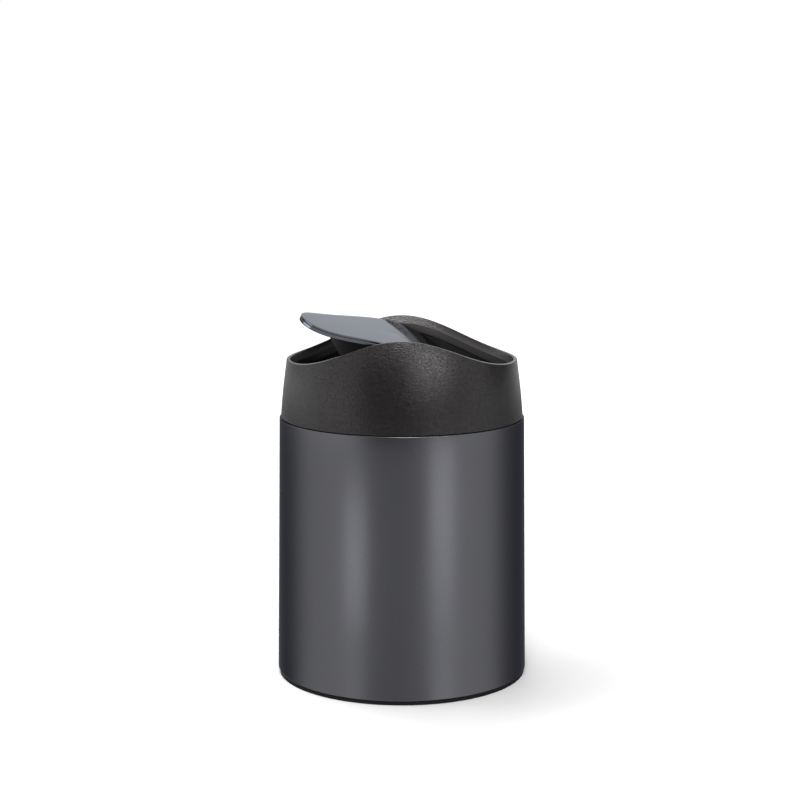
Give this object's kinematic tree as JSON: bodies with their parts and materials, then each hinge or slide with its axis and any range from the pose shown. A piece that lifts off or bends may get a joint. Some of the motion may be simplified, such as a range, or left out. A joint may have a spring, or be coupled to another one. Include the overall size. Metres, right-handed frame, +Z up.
{
  "type": "countertop bin",
  "caption": "Round drafted steel countertop bin with a lift-out bucket and a lift-off saddle-rimmed lid whose arched flap tips when pushed.",
  "frame": {"origin": "centre of the base ring's underside, on the surface the bin stands on", "axes": "+Z up along the body's axis; the flap's pivot axis runs along Y, and +X is the side drawn pushed down"},
  "size_m": [0.1236, 0.1236, 0.1785],
  "materials": {
    "shell_paint": "satin slate-grey metallic lacquer over steel sheet",
    "flap_paint": "satin slate-grey metallic lacquer over pressed steel",
    "collar_plastic": "fine-grained charcoal moulding",
    "black_plastic": "plain black moulding",
    "bucket_plastic": "smooth black moulding",
    "rubber": "soft black rubber",
    "plain_steel": "plain zinc-plated sheet and bar",
    "screw_steel": "zinc-plated"
  },
  "bodies": {
    "bin": {"body_shell": "shell_paint", "base_disc": "plain_steel", "base_ring": "rubber", "base_screw_1": "screw_steel", "base_screw_2": "screw_steel", "base_screw_3": "screw_steel", "base_screw_4": "screw_steel"},
    "bucket": {"inner_bucket": "bucket_plastic"},
    "lid": {"lid_collar": "collar_plastic", "lid_frame": "black_plastic", "frame_screw_1": "screw_steel", "frame_screw_2": "screw_steel", "frame_screw_3": "screw_steel", "frame_screw_4": "screw_steel", "stop_pad_1": "rubber", "stop_pad_2": "rubber", "stop_pad_3": "rubber", "stop_pad_4": "rubber"},
    "flap": {"flap_skin": "flap_paint", "flap_carrier": "black_plastic", "pivot_pin_front": "screw_steel", "pivot_pin_back": "screw_steel", "ballast_bar": "plain_steel", "ballast_screw_1": "screw_steel", "ballast_screw_2": "screw_steel"}
  },
  "joints": [
    {"name": "bucket_lift", "type": "slide", "parent": "bin", "child": "bucket", "axis": [0, 0, 1], "range_m": [0, 0.13]},
    {"name": "lid_lift", "type": "slide", "parent": "bucket", "child": "lid", "axis": [0, 0, 1], "range_m": [0, 0.06]},
    {"name": "flap_swing", "type": "hinge", "parent": "lid", "child": "flap", "pos_m": [0, 0, 0.16], "axis": [0, 1, 0], "range_deg": [-61.8, 14.2]}
  ]
}
